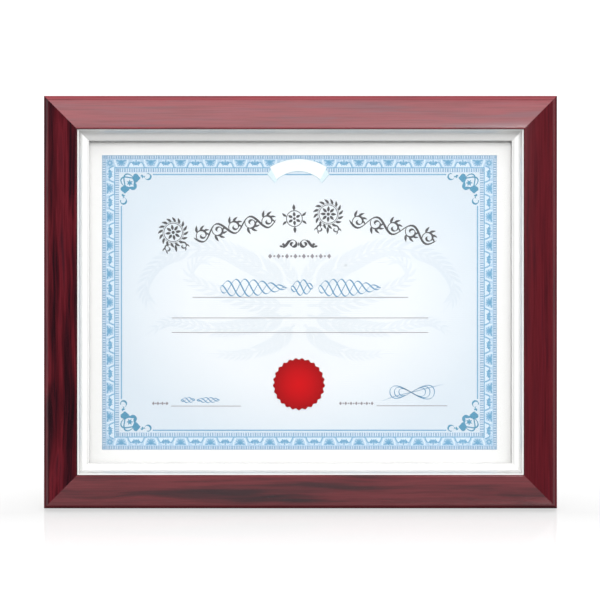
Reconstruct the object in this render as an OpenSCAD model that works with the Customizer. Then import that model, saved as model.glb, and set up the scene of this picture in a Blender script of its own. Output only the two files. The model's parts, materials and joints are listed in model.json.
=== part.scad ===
// Certificate frame for a letter-size sheet, standing on an easel leg.
// The frame is drawn upright and flat first: X to the right, Y from the front of the
// moulding towards its back, Z up from the bottom edge. stand_up() then leans it back.

/* [Sheet and glazing] */
// Width of the certificate, glazing, filler and backing board
sheet_w = 279.4; // [200:0.1:450]
// Height of the certificate, glazing, filler and backing board
sheet_h = 215.9; // [200:0.1:350]
// Thickness of the glazing
glass_t = 2; // [1.5:0.1:3]
// Air left between the glazing and the certificate
air_gap = 0.3; // [0.25:0.05:1]
// Thickness of the certificate
paper_t = 0.25; // [0.1:0.05:0.5]
// Thickness of the filler card that presses the certificate forward
filler_t = 2.25; // [1:0.05:4]
// Thickness of the backing board
board_t = 3; // [2.5:0.1:5]
// Play between the sheets and the rabbet wall, on each side
rabbet_play = 1; // [0.5:0.1:2]

/* [Wafer seal] */
// Diameter of the seal over its points
seal_d = 33; // [20:0.5:45]
// Thickness of the seal
seal_t = 0.15; // [0.05:0.05:0.2]
// Number of points round the seal
seal_points = 25; // [16:1:36]
// Depth of the notches between the points
seal_notch = 1; // [0.4:0.1:1.5]
// Height of the seal's centre below the centre of the certificate
seal_down = 50.8; // [30:0.2:70]

/* [Wooden moulding] */
// Width of the wooden face
wood_w = 21.25; // [16:0.25:40]
// How far the face falls back from its inner to its outer edge
face_drop = 5.2; // [2:0.1:8]
// Rise of the face's crown above a flat slope
face_crown = 0.45; // [0.2:0.05:1]
// Radius along the outer edge of the face
outer_r = 4; // [1:0.1:5]
// Radius along the inner edge of the face
inner_r = 1; // [0.4:0.1:1.5]
// Reach of the tongue that carries the liner
tongue_l = 4; // [2.5:0.1:5]
// Thickness of the tongue
tongue_t = 1.8; // [1.2:0.1:2.2]

/* [Silver liner] */
// Width of the liner that shows
liner_w = 7.35; // [6:0.05:12]
// Step from the wood's inner edge down to the liner
liner_step = 1.2; // [0.8:0.1:3]
// How far the liner falls from the wood to the sight edge
liner_drop = 6.8; // [5:0.1:10]
// Thickness of the liner at the sight edge
lip_t = 2.2; // [1.6:0.1:4]
// How far the liner covers the glazing
lip_cover = 6.35; // [4:0.05:8]
// Depth of the cove along the liner
cove_depth = 0.6; // [0.3:0.05:1]
// Flat left on each side of the cove
cove_land = 1.1; // [0.6:0.1:2]

/* [Corner nails] */
// Length of each wing of a corner nail
wing_l = 5; // [3:0.5:6]
// Thickness of the nail's steel
wing_t = 0.5; // [0.3:0.1:0.8]
// Depth that the nail is driven in from the back
wing_depth = 10; // [6:0.5:11]
// Distance of the first nail from the outside of the frame
nail_first = 6; // [4:0.5:8]
// Distance between the two nails of a corner
nail_pitch = 6.5; // [5:0.5:9]

/* [Turn buttons] */
// Distance of the upper and lower buttons from the middle of the frame
button_x = 92; // [60:1:110]
// Distance of a button's screw from the outside of the frame
button_in = 15.5; // [15:0.5:17.5]
// Thickness of a button
button_t = 0.9; // [0.6:0.1:1.5]
// Radius of a button's round end
button_r = 5.2; // [4:0.1:6]
// Radius of a button's tip
tip_r = 2.8; // [2:0.1:4]
// Distance from the screw to the centre of the tip
button_l = 11.5; // [10:0.5:12]
// Gap between a button and the back of the frame
button_lift = 0.1; // [0.05:0.05:0.5]
// Shank diameter of the button screws
screw_d = 3; // [2:0.1:3.5]
// Head diameter of the button screws
screw_head_d = 6; // [5:0.1:7]
// Height of the screws' domed heads
screw_head_h = 1.7; // [1.2:0.1:2.5]
// Width of the cross recess in the screws' heads
recess_w = 0.8; // [0.5:0.1:1.2]
// Length of the button screws in the wood
screw_l = 10; // [6:0.5:12]

/* [Sawtooth hanger] */
// Length of the hanger
hanger_l = 44; // [36:1:60]
// Height of the hanger
hanger_h = 9; // [7:0.5:12]
// Thickness of the hanger
hanger_t = 0.8; // [0.5:0.1:1.2]
// Gap behind the raised middle of the hanger
hanger_gap = 1.8; // [1.2:0.1:2.5]
// Length of the flat tab at each end
hanger_tab = 8; // [7:0.5:9]
// Distance from one tooth to the next
tooth_pitch = 2.2; // [1.8:0.1:3]
// Depth of the notches between the teeth
tooth_h = 1.4; // [1:0.1:2]
// Shank diameter of the hanger nails
nail_d = 1.5; // [1.2:0.1:2]
// Length of the hanger nails in the wood
nail_l = 9; // [6:0.5:12]
// Head diameter of the hanger nails
nail_head_d = 3.6; // [3:0.1:5]
// Height of the hanger nails' heads
nail_head_h = 0.9; // [0.5:0.1:1.2]

/* [Easel] */
// Angle that the frame leans back from upright
lean = 12; // [8:0.5:15]
// Angle between the open leg and the backing board
leg_open = 24; // [20:0.5:32]
// Height of the hinge pin above the bottom of the frame
hinge_z = 165; // [130:1:185]
// Thickness of the leg
leg_t = 3; // [2:0.1:5]
// Width of the leg at the hinge
leg_top_w = 32; // [28:1:45]
// Width of the leg at the foot
leg_foot_w = 62; // [45:1:80]
// Radius of the leg's two upper corners
shoulder_r = 4; // [2:0.5:8]

/* [Strut hinge] */
// Width of the two hinge leaves
leaf_w = 24; // [20:0.5:28]
// Length of each leaf from the pin
leaf_l = 19; // [16:0.5:24]
// Thickness of the hinge's sheet steel
leaf_t = 0.8; // [0.6:0.1:1]
// Radius of the leaves' corners
leaf_corner = 2; // [1:0.5:4]
// Diameter of the hinge pin
pin_d = 2; // [1.6:0.1:3]
// Thickness of the heads that keep the pin in
pin_head_t = 0.6; // [0.4:0.1:1]
// Clearance round the pin
pin_play = 0.05; // [0.03:0.01:0.1]
// Width of the middle knuckle, which belongs to the leg's leaf
knuckle_w = 8; // [6:0.5:10]
// Clearance on each side of the middle knuckle
knuckle_play = 0.2; // [0.1:0.05:0.4]
// Clearance between the knuckles and the backing board
knuckle_lift = 0.1; // [0.05:0.05:0.3]
// Gap between the folded leg's leaf and the backing board
fold_gap = 1; // [0.8:0.1:1.5]
// Shank diameter of the rivets
rivet_d = 2.4; // [2:0.1:3]
// Head diameter of the rivets
rivet_head_d = 4.8; // [4:0.1:5.5]
// Height of the rivet heads
rivet_head_h = 0.7; // [0.4:0.1:0.7]
// Distance between the two rivets of a leaf
rivet_pitch = 13; // [10:0.5:15]

/* [Hidden] */
$fn = 64;

// Steps in a quarter of a rounded edge, and in the crown and the cove
edge_steps = 8;
curve_steps = 16;
// Smallest overlap that makes two shapes of one piece a single solid, and cuts run clear
bite = 0.4;
cut = 1;
// Clearance round fasteners in steel and board, and round those in wood
hole_play = 0.08;
wood_play = 0.02;
// Distance that the open leg's heel stays off its stop
stop_play = 0.05;

mould_w = wood_w + liner_w;
sight_w = sheet_w - 2 * lip_cover;
sight_h = sheet_h - 2 * lip_cover;
outer_w = sight_w + 2 * mould_w;
outer_h = sight_h + 2 * mould_w;

// Depths from the front of the moulding
sight_y = liner_step + liner_drop;
rabbet_y = sight_y + lip_t;
paper_y = rabbet_y + glass_t + air_gap;
filler_y = paper_y + paper_t;
board_y = filler_y + filler_t;
depth = board_y + board_t;
rabbet_u = mould_w - lip_cover - rabbet_play;
tongue_y = rabbet_y - tongue_t;

// The sheets stand on the lower rabbet wall, and the certificate has slid to the left
sheet_z = rabbet_u;
certificate_x = -rabbet_play;
seal_z = sheet_z + sheet_h / 2 - seal_down;

knuckle_r = pin_d / 2 + pin_play + leaf_t;
pivot_y = depth + knuckle_lift + knuckle_r;
pivot_out = pivot_y - depth;
leaf_front = depth + fold_gap;
leg_front = leaf_front + leaf_t;
leaf_start = knuckle_r + 1;
rivet_at = (leaf_l + leaf_start) / 2;
// The heel meets the board's leaf when the leg is open
heel_in = pin_d / 2 + pin_play;
heel_l = (heel_in * cos(leg_open) + pivot_out - leaf_t - stop_play) / sin(leg_open);

// Where the pin and the foot stand once the frame leans
splay = leg_open - lean;
pin_y_stood = pivot_out * cos(lean) + hinge_z * sin(lean);
pin_z_stood = hinge_z * cos(lean) - pivot_out * sin(lean);
leg_rear = leg_front + leg_t - pivot_y;
leg_l = (pin_z_stood + leg_rear * sin(splay)) / cos(splay);
foot_y = pin_y_stood + leg_rear * cos(splay) + leg_l * sin(splay);
front_y = (wood_w - inner_r) * sin(lean) - depth * cos(lean);
middle_y = (front_y + foot_y) / 2;

// Points of an arc round c, from angle a0 to a1
function arc(c, r, a0, a1, n) =
    [for (i = [0:n]) let (a = a0 + (a1 - a0) * i / n) c + r * [cos(a), sin(a)]];

// Points of a shallow arc from p to q that bulges by rise to the left of the way
function bulge(p, q, rise, n) =
    let (d = q - p, l = norm(d), t = d / l, s = [-t[1], t[0]])
    [for (i = [1:n - 1]) let (k = i / n) p + k * d + 4 * k * (1 - k) * rise * s];

// Vector v turned by the angle a
function turned(v, a) = [v[0] * cos(a) - v[1] * sin(a), v[0] * sin(a) + v[1] * cos(a)];

// Points of a rounded corner p between the directions to its neighbours before and after
function round_corner(before, p, after, r) =
    let (a = (before - p) / norm(before - p), b = (after - p) / norm(after - p),
        half = acos(a * b) / 2, m = (a + b) / norm(a + b), c = p + m * r / sin(half),
        t0 = p + a * r / tan(half) - c, a0 = atan2(t0[1], t0[0]),
        t1 = p + b * r / tan(half) - c, a1 = atan2(t1[1], t1[0]),
        turn = a1 - a0, short = turn > 180 ? turn - 360 : turn < -180 ? turn + 360 : turn)
    arc(c, r, a0, a0 + short, edge_steps);

// Points of a rectangle with round corners, from the lower left corner lo to hi
function rounded_box(lo, hi, r) = concat(
    arc([hi[0] - r, lo[1] + r], r, -90, 0, edge_steps),
    arc([hi[0] - r, hi[1] - r], r, 0, 90, edge_steps),
    arc([lo[0] + r, hi[1] - r], r, 90, 180, edge_steps),
    arc([lo[0] + r, lo[1] + r], r, 180, 270, edge_steps));

// Leans the upright frame back on its rear bottom edge, which stays on the table
module stand_up() {
    translate([0, -middle_y, 0]) rotate([-lean, 0, 0]) translate([0, -depth, 0]) children();
}

// Swings what is drawn folded against the board out to the open leg's place
module swing_open() {
    translate([0, pivot_y, hinge_z]) rotate([leg_open, 0, 0])
        translate([0, -pivot_y, -hinge_z]) children();
}

// Turns a piece drawn for the bottom rail to side 0 bottom, 1 left, 2 top or 3 right
module on_side(side) {
    translate([0, 0, outer_h / 2]) rotate([0, 90 * side, 0])
        translate([0, 0, side % 2 == 0 ? -outer_h / 2 : -outer_w / 2]) children();
}

// Extrudes a section drawn in depth and distance from the outside, mitred at both ends
module mitred_stick(side) {
    half = side % 2 == 0 ? outer_w / 2 : outer_h / 2;
    on_side(side) intersection() {
        rotate([90, 0, 90]) linear_extrude(2 * half, center = true) children();
        translate([0, depth + cut, 0]) rotate([90, 0, 0]) linear_extrude(depth + 2 * cut)
            polygon([[-half, 0], [half, 0], [half - mould_w, mould_w], [mould_w - half, mould_w]]);
    }
}

// Section of the wooden rail: crowned sloping face, outer side, rabbet and tongue
module wood_section() {
    outer = [face_drop, 0];
    inner = [0, wood_w];
    // The crown leaves the straight slope by this angle at both edges
    lift = atan(4 * face_crown / norm(inner - outer));
    low = round_corner([depth, 0], outer, outer + turned(inner - outer, lift), outer_r);
    high = round_corner(inner + turned(outer - inner, -lift), inner, [depth, wood_w], inner_r);
    polygon(concat(
        low, bulge(low[edge_steps], high[0], face_crown, curve_steps), high,
        [[tongue_y, wood_w], [tongue_y, wood_w + tongue_l], [rabbet_y, wood_w + tongue_l],
            [rabbet_y, rabbet_u], [depth, rabbet_u], [depth, 0]]));
}

// Section of the silver liner: a coved bevel that hooks over the tongue
module liner_section() {
    top = [liner_step, wood_w];
    sight = [sight_y, mould_w];
    along = (sight - top) / norm(sight - top);
    cove_start = top + cove_land * along;
    cove_end = sight - cove_land * along;
    polygon(concat(
        [top, cove_start], bulge(cove_start, cove_end, -cove_depth, curve_steps), [cove_end],
        round_corner(cove_end, sight, [rabbet_y, mould_w], lip_t / 4),
        [[rabbet_y, mould_w], [rabbet_y, wood_w + tongue_l],
            [tongue_y, wood_w + tongue_l], [tongue_y, wood_w]]));
}

// One corner nail with its wings along the rails, seen from the bottom left corner
module corner_nail_shape() {
    polygon([[0, 0], [wing_l, 0], [wing_l, wing_t], [wing_t, wing_t], [wing_t, wing_l],
        [0, wing_l]]);
}

// Both nails of every corner, driven in from the back
module nail_set() {
    for (right = [0, 1], up = [0, 1], i = [0, 1])
        mirror([right, 0, 0])
            translate([-outer_w / 2, depth, up * outer_h]) mirror([0, 0, up]) {
                at = nail_first + i * nail_pitch;
                translate([at, 0, at]) rotate([90, 0, 0]) linear_extrude(wing_depth)
                    corner_nail_shape();
            }
}

// Runs its children at each turn button's screw, with the button's tip towards the board
module at_button(name) {
    top = outer_h / 2 - button_in;
    place = name == "top_left" ? [-button_x, top, 180]
        : name == "top_right" ? [button_x, top, 180]
        : name == "bottom_left" ? [-button_x, -top, 0]
        : name == "bottom_right" ? [button_x, -top, 0]
        : name == "left" ? [button_in - outer_w / 2, 0, 90]
        : [outer_w / 2 - button_in, 0, -90];
    translate([place[0], depth, outer_h / 2 + place[1]]) rotate([0, place[2], 0]) children();
}

BUTTONS = ["top_left", "top_right", "bottom_left", "bottom_right", "left", "right"];

// Round holes of diameter d, from the back of the frame inwards
module hole_in(d, l) {
    translate([0, cut, 0]) rotate([90, 0, 0]) cylinder(d = d, h = l + cut);
}

module button_pilots() {
    for (name = BUTTONS) at_button(name) hole_in(screw_d + 2 * wood_play, screw_l + wood_play);
}

// Centre height of the hanger, and its nails' distance from the middle
hanger_z = outer_h - wood_w / 2;
hanger_nail_x = hanger_l / 2 - hanger_tab / 2;

module at_hanger_nails() {
    for (x = [-hanger_nail_x, hanger_nail_x]) translate([x, depth, hanger_z]) children();
}

// Wooden rail of one side, with room for its fasteners
module rail(side) {
    color("#6b1a22") difference() {
        mitred_stick(side) wood_section();
        nail_set();
        button_pilots();
        if (side == 2) at_hanger_nails() hole_in(nail_d + 2 * wood_play, nail_l + wood_play);
    }
}

module liner(side) {
    color("#dcdddc") mitred_stick(side) liner_section();
}

module corner_nails() {
    color("#9a9da1") nail_set();
}

// A sheet of the stack, standing on the rabbet's lower wall
module sheet(y, t, x = 0) {
    translate([x - sheet_w / 2, y, sheet_z]) cube([sheet_w, t, sheet_h]);
}

module glazing() {
    color("#e8f4f4", 0.35) sheet(rabbet_y, glass_t);
}

module certificate() {
    color("#eef6fc") sheet(paper_y, paper_t, certificate_x);
}

module filler_card() {
    color("#b99a6b") sheet(filler_y, filler_t);
}

// Notched paper seal stuck on the certificate, with one point straight down
module wafer_seal() {
    steps = 8 * seal_points;
    outline = [for (i = [0:steps - 1])
        let (a = 360 * i / steps,
            r = seal_d / 2 - seal_notch * (1 - cos(seal_points * a)) / 2)
        r * [sin(a), -cos(a)]];
    color("#c81e26") translate([certificate_x, paper_y, seal_z]) rotate([90, 0, 0])
        linear_extrude(seal_t) polygon(outline);
}

// Runs its children at the two rivets of a leaf, whose line lies at height z
module at_rivets(z) {
    for (x = [-rivet_pitch / 2, rivet_pitch / 2]) translate([x, 0, z]) children();
}

module backing_board() {
    color("#262423") difference() {
        sheet(board_y, board_t);
        at_rivets(hinge_z + rivet_at) {
            translate([0, depth + cut, 0]) rotate([90, 0, 0])
                cylinder(d = rivet_d + 2 * hole_play, h = board_t + 2 * cut);
            translate([0, board_y + rivet_head_h, 0]) rotate([90, 0, 0])
                cylinder(d = rivet_head_d + 2 * hole_play, h = rivet_head_h + cut);
        }
    }
}

// Rivet from y = 0 through a thickness t, with a domed head behind and a flat clinch in front
module rivet(t, clinch_at) {
    dome = arc([0, 0], 1, 0, 90, edge_steps);
    rotate([-90, 0, 0]) rotate_extrude()
        polygon(concat([[0, clinch_at], [rivet_head_d / 2, clinch_at],
            [rivet_head_d / 2, clinch_at + rivet_head_h], [rivet_d / 2, clinch_at + rivet_head_h],
            [rivet_d / 2, t]],
            [for (p = dome) [p[0] * rivet_head_d / 2, t + p[1] * rivet_head_h]]));
}

module board_rivets() {
    color("#b9bcc0") translate([0, board_y, 0]) at_rivets(hinge_z + rivet_at)
        rivet(board_t + leaf_t, 0);
}

module leg_rivets() {
    color("#b9bcc0") swing_open() translate([0, leaf_front, 0]) at_rivets(hinge_z - rivet_at)
        rivet(leaf_t + leg_t, -rivet_head_h);
}

// Flat leaf of the hinge, from the height z0 to z1, with a hole for each rivet
module leaf_plate(y, z0, z1, rivet_z) {
    translate([0, y + leaf_t, 0]) rotate([90, 0, 0]) linear_extrude(leaf_t) difference() {
        polygon(rounded_box([-leaf_w / 2, z0], [leaf_w / 2, z1], leaf_corner));
        for (x = [-rivet_pitch / 2, rivet_pitch / 2])
            translate([x, rivet_z]) circle(d = rivet_d + 2 * hole_play);
    }
}

// Curled knuckle from x0 to x1, before its bore is cut
module knuckle(x0, x1) {
    translate([x0, pivot_y, hinge_z]) rotate([0, 90, 0]) cylinder(r = knuckle_r, h = x1 - x0);
}

module pin_bore() {
    translate([-leaf_w / 2 - cut, pivot_y, hinge_z]) rotate([0, 90, 0])
        cylinder(r = pin_d / 2 + pin_play, h = leaf_w + 2 * cut);
}

// Leaf on the backing board: two outer knuckles, open between them for the leg's knuckle
module hinge_board_leaf() {
    inner_x = knuckle_w / 2 + knuckle_play;
    notch = knuckle_r + knuckle_play;
    color("#b9bcc0") difference() {
        union() {
            leaf_plate(depth, hinge_z + leaf_start, hinge_z + leaf_l, hinge_z + rivet_at);
            for (s = [-1, 1]) {
                knuckle(s > 0 ? inner_x : -leaf_w / 2, s > 0 ? leaf_w / 2 : -inner_x);
                translate([s > 0 ? inner_x : -leaf_w / 2, depth, hinge_z])
                    cube([leaf_w / 2 - inner_x, leaf_t, leaf_start + leaf_corner + bite]);
            }
        }
        pin_bore();
        translate([-inner_x, depth - cut, hinge_z - notch])
            cube([2 * inner_x, 2 * knuckle_r + 2 * cut, 2 * notch]);
    }
}

// Leaf on the leg: the middle knuckle, the plate below it and the heel that stops the leg
module hinge_leg_leaf() {
    neck = leaf_start + bite;
    color("#b9bcc0") swing_open() difference() {
        union() {
            leaf_plate(leaf_front, hinge_z - leaf_l, hinge_z - leaf_start, hinge_z - rivet_at);
            knuckle(-knuckle_w / 2, knuckle_w / 2);
            translate([-knuckle_w / 2, leaf_front, hinge_z - neck])
                cube([knuckle_w, leaf_t, neck]);
            translate([-knuckle_w / 2, pivot_y + heel_in, hinge_z])
                cube([knuckle_w, leaf_t, heel_l]);
        }
        pin_bore();
    }
}

module hinge_pin() {
    head_r = pin_d / 2 + leaf_t / 2;
    color("#d0d2d5") translate([0, pivot_y, hinge_z]) rotate([0, 90, 0]) {
        cylinder(d = pin_d, h = leaf_w + 2 * pin_head_t, center = true);
        for (s = [-1, 1]) translate([0, 0, s * (leaf_w + pin_head_t) / 2])
            cylinder(r = head_r, h = pin_head_t, center = true);
    }
}

// Tapered leg with rounded shoulders; its foot is sawn level with the table
module easel_leg() {
    top_z = hinge_z - leaf_start;
    low_z = hinge_z - leg_l - 2 * leg_t;
    top_corner = [leg_top_w / 2, top_z];
    foot_corner = [leg_foot_w / 2, low_z];
    shoulder = round_corner(foot_corner, top_corner, [-leg_top_w / 2, top_z], shoulder_r);
    half = concat([foot_corner], shoulder);
    count = len(half);
    outline = concat(half, [for (i = [count - 1:-1:0]) [-half[i][0], half[i][1]]]);
    table = leg_foot_w + 2 * cut;
    color("#262423") difference() {
        stand_up() swing_open() difference() {
            translate([0, leg_front + leg_t, 0]) rotate([90, 0, 0]) linear_extrude(leg_t)
                polygon(outline);
            at_rivets(hinge_z - rivet_at) translate([0, leg_front - cut, 0]) rotate([-90, 0, 0])
                cylinder(d = rivet_d + 2 * hole_play, h = leg_t + 2 * cut);
        }
        translate([-table / 2, foot_y - middle_y - table / 2, -table]) cube(table);
    }
}

// Stamped button: round end about the screw, straight flanks to a narrower tip
module turn_button(name) {
    flank = acos((button_r - tip_r) / button_l);
    outline = concat(arc([0, 0], button_r, 90 + flank, 450 - flank, 4 * edge_steps),
        arc([0, button_l], tip_r, 90 - flank, 90 + flank, 2 * edge_steps));
    color("#c3c5c8") at_button(name) difference() {
        translate([0, button_lift + button_t, 0]) rotate([90, 0, 0]) linear_extrude(button_t)
            polygon(outline);
        translate([0, button_lift - cut, 0]) rotate([-90, 0, 0])
            cylinder(d = screw_d + 2 * hole_play, h = button_t + 2 * cut);
    }
}

// Pan-head screw with a cross recess, seen from its tip in the wood
module button_screw() {
    head_y = button_lift + button_t + button_lift;
    rim_h = 0.3 * screw_head_h;
    dome_h = screw_head_h - rim_h;
    rim = arc([0, 0], 1, 0, 90, edge_steps);
    difference() {
        rotate([-90, 0, 0]) rotate_extrude()
            polygon(concat([[0, -screw_l], [screw_d / 2, screw_d - screw_l],
                [screw_d / 2, head_y], [screw_head_d / 2, head_y]],
                [for (p = rim) [p[0] * screw_head_d / 2, head_y + rim_h + dome_h * p[1]]]));
        for (a = [0, 90]) rotate([0, 45 + a, 0])
            translate([-screw_head_d / 4, head_y + screw_head_h / 2, -recess_w / 2])
                cube([screw_head_d / 2, screw_head_h, recess_w]);
    }
}

module turn_button_screws() {
    color("#a8abb0") for (name = BUTTONS) at_button(name) button_screw();
}

// Stamped strip whose raised middle carries the teeth, nailed to the top rail
module sawtooth_hanger() {
    half = hanger_l / 2;
    ramp_end = half - hanger_tab - hanger_gap;
    teeth = floor((2 * ramp_end - tooth_pitch) / tooth_pitch);
    side = [[half, 0], [half - hanger_tab, 0], [ramp_end, hanger_gap]];
    back = [[ramp_end, hanger_gap + hanger_t], [half - hanger_tab, hanger_t], [half, hanger_t]];
    strip = concat(side, [for (i = [2:-1:0]) [-side[i][0], side[i][1]]],
        [for (i = [2:-1:0]) [-back[i][0], back[i][1]]], back);
    low = hanger_z - hanger_h / 2;
    color("#c9a24b") difference() {
        translate([0, depth, low]) linear_extrude(hanger_h) polygon(strip);
        for (i = [0:teeth - 1]) translate([(i - (teeth - 1) / 2) * tooth_pitch, depth, low])
            translate([0, hanger_gap + hanger_t + cut, 0]) rotate([90, 0, 0])
                linear_extrude(hanger_t + 2 * cut)
                    polygon([[-tooth_pitch / 2, -cut], [tooth_pitch / 2, -cut],
                        [tooth_pitch / 2, 0], [0, tooth_h], [-tooth_pitch / 2, 0]]);
        at_hanger_nails() translate([0, -cut, 0]) rotate([-90, 0, 0])
            cylinder(d = nail_d + 2 * hole_play, h = hanger_t + 2 * cut);
    }
}

module hanger_nails() {
    head_y = hanger_t + nail_head_h;
    color("#c9a24b") at_hanger_nails() rotate([-90, 0, 0]) rotate_extrude()
        polygon([[0, -nail_l], [nail_d / 2, nail_d - nail_l], [nail_d / 2, hanger_t],
            [nail_head_d / 2, hanger_t], [nail_head_d / 3, head_y], [0, head_y]]);
}

stand_up() rail(2);  // top_rail
stand_up() rail(0);  // bottom_rail
stand_up() rail(1);  // left_rail
stand_up() rail(3);  // right_rail
stand_up() liner(2);  // top_liner
stand_up() liner(0);  // bottom_liner
stand_up() liner(1);  // left_liner
stand_up() liner(3);  // right_liner
stand_up() corner_nails();
stand_up() glazing();
stand_up() certificate();
stand_up() wafer_seal();
stand_up() filler_card();
stand_up() backing_board();
stand_up() hinge_board_leaf();
stand_up() hinge_pin();
stand_up() board_rivets();
stand_up() hinge_leg_leaf();
stand_up() leg_rivets();
easel_leg();
stand_up() turn_button("top_left");  // turn_button_top_left
stand_up() turn_button("top_right");  // turn_button_top_right
stand_up() turn_button("bottom_left");  // turn_button_bottom_left
stand_up() turn_button("bottom_right");  // turn_button_bottom_right
stand_up() turn_button("left");  // turn_button_left
stand_up() turn_button("right");  // turn_button_right
stand_up() turn_button_screws();
stand_up() sawtooth_hanger();
stand_up() hanger_nails();
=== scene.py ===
# %% [markdown]
# # A certificate frame
# This lesson dresses the model of a certificate frame for a studio picture: mahogany mouldings,
# a silver liner, glass, a printed certificate with a red seal, and the steel and brass fittings
# at the back. The model itself is a fixed frame that is only loaded here, so every piece that
# we add is measured from it and rides on one of its bodies.

# %% Load the model
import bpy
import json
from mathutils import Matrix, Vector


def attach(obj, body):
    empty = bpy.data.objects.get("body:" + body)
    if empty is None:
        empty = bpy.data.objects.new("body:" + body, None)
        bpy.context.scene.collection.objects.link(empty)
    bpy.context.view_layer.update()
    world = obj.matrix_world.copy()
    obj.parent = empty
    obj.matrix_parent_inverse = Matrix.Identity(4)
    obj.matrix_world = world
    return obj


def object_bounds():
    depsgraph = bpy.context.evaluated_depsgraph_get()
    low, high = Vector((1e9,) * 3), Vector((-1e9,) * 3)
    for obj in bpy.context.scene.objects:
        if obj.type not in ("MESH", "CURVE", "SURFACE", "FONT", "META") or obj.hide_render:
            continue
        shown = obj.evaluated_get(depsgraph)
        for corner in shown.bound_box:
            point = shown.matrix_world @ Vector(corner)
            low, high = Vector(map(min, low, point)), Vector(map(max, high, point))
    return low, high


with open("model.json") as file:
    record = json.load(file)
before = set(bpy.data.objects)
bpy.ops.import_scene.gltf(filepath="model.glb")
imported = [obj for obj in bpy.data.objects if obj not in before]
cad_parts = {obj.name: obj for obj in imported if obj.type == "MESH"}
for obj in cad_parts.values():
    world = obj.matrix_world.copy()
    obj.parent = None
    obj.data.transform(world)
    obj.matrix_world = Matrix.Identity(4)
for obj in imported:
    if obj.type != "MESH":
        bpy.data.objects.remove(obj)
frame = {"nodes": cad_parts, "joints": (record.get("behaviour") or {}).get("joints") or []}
cad_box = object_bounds()

# %% [markdown]
# ## Upright millimetres
# The frame leans back on its easel leg, which makes every position awkward to write. A turn
# button's joint points straight out of the back, so its axis tells us the angle of the lean.
# Undoing that turn gives upright coordinates: x to the right, y from the front to the back and
# z up the frame. We think in upright millimetres and let one matrix lean the result back.

# %% Upright millimetres
import json
from math import atan2, ceil, cos, pi, radians, sin

import bpy
from mathutils import Matrix, Vector

MM = 0.001
RAILS = ("top_rail", "bottom_rail", "left_rail", "right_rail")
LINERS = ("top_liner", "bottom_liner", "left_liner", "right_liner")
out_of_back = next(j["axis"] for j in frame["joints"] if j["name"] == "turn_button_left_pivot")
lean = atan2(-out_of_back[2], out_of_back[1])
leaned = Matrix.Rotation(-lean, 4, "X") @ Matrix.Scale(MM, 4)
upright = leaned.inverted()


def upright_box(*nodes):
    """Lowest and highest corner of some nodes, in upright millimetres."""
    points = [upright @ v.co for n in nodes for v in frame["nodes"][n].data.vertices]
    low = Vector([min(p[i] for p in points) for i in range(3)])
    high = Vector([max(p[i] for p in points) for i in range(3)])
    return low, high


outer_low, outer_high = upright_box(*RAILS)
sheet_low, sheet_high = upright_box("certificate")
middle = (outer_low + outer_high) / 2
print(f"lean {lean * 180 / pi:.1f} degrees, frame {outer_high.x - outer_low.x:.1f} by "
      f"{outer_high.z - outer_low.z:.1f} mm")

# %% [markdown]
# ## Colours and nodes
# A paint chart gives sRGB colours, while a shader adds up light, so each hex value is turned
# linear by one function. One more function adds any node, sets its properties and fills or
# links its inputs. Short functions on top of it name the sums and mixes that every material
# needs.

# %% Helpers for nodes
def linear(code):
    """The linear colour of an sRGB hex value such as "#7a1f28"."""
    levels = [int(code[i:i + 2], 16) / 255 for i in (1, 3, 5)]
    return [v / 12.92 if v <= 0.04045 else ((v + 0.055) / 1.055) ** 2.4 for v in levels] + [1.0]


def add(tree, kind, inputs=None, **settings):
    """Adds a node, sets its properties, fills its inputs, and returns its first output."""
    node = tree.nodes.new("ShaderNode" + kind)
    for name, value in settings.items():
        setattr(node, name, value)
    for name, value in (inputs or {}).items():
        if isinstance(value, bpy.types.NodeSocket):
            tree.links.new(value, node.inputs[name])
        else:
            node.inputs[name].default_value = value
    return next((out for out in node.outputs if out.enabled), node)


def maths(tree, operation, *values, **settings):
    """A sum with numbers, whatever the operation."""
    return add(tree, "Math", dict(enumerate(values)), operation=operation, **settings)


def vectors(tree, operation, *values):
    """A sum with vectors; a length or a dot product comes out as a number."""
    return add(tree, "VectorMath", dict(enumerate(values)), operation=operation)


def mapped(tree, value, source, target, **settings):
    """A value moved from one range to another, and held inside it."""
    return add(tree, "MapRange", {
        "Value": value, "From Min": source[0], "From Max": source[1],
        "To Min": target[0], "To Max": target[1]}, **settings)


def mixed(tree, share, first, second, blend="MIX"):
    """The first colour with a share of the second."""
    return add(tree, "Mix", {0: share, 6: first, 7: second}, data_type="RGBA", blend_type=blend)


def ramp(tree, factor, *stops):
    """A colour ramp with (position, hex colour) stops."""
    colour = add(tree, "ValToRGB", {"Fac": factor})
    points = colour.node.color_ramp.elements
    while len(points) < len(stops):
        points.new(1.0)
    for point, (position, code) in zip(points, stops):
        point.position = position
        point.color = linear(code)
    return colour


# %% [markdown]
# ## Patterns and materials
# Patterns are drawn in upright millimetres too, so a size in a material is one on the real
# object. With noise, cells and relief given by size, a material takes only the few lines that
# describe it.

# %% Helpers for patterns and materials
def stretched(tree, place, size, turn=(0, 0, 0)):
    """A place turned and divided by a size in mm, so that a pattern of scale 1 has that size."""
    lengths = (size,) * 3 if isinstance(size, float) else size
    turned = add(tree, "Mapping", {"Vector": place, "Rotation": turn})
    return add(tree, "Mapping", {
        "Vector": turned, "Scale": [1 / length for length in lengths]})


def noise(tree, place, size, detail=2.0, roughness=0.5):
    """Noise whose lumps have a size in mm."""
    return add(tree, "TexNoise", {
        "Vector": stretched(tree, place, size), "Scale": 1.0, "Detail": detail,
        "Roughness": roughness})


def cells(tree, place, size):
    """The distance to the middle of the nearest of many cells; their size is in mm."""
    return add(tree, "TexVoronoi", {"Vector": stretched(tree, place, size), "Scale": 1.0})


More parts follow.
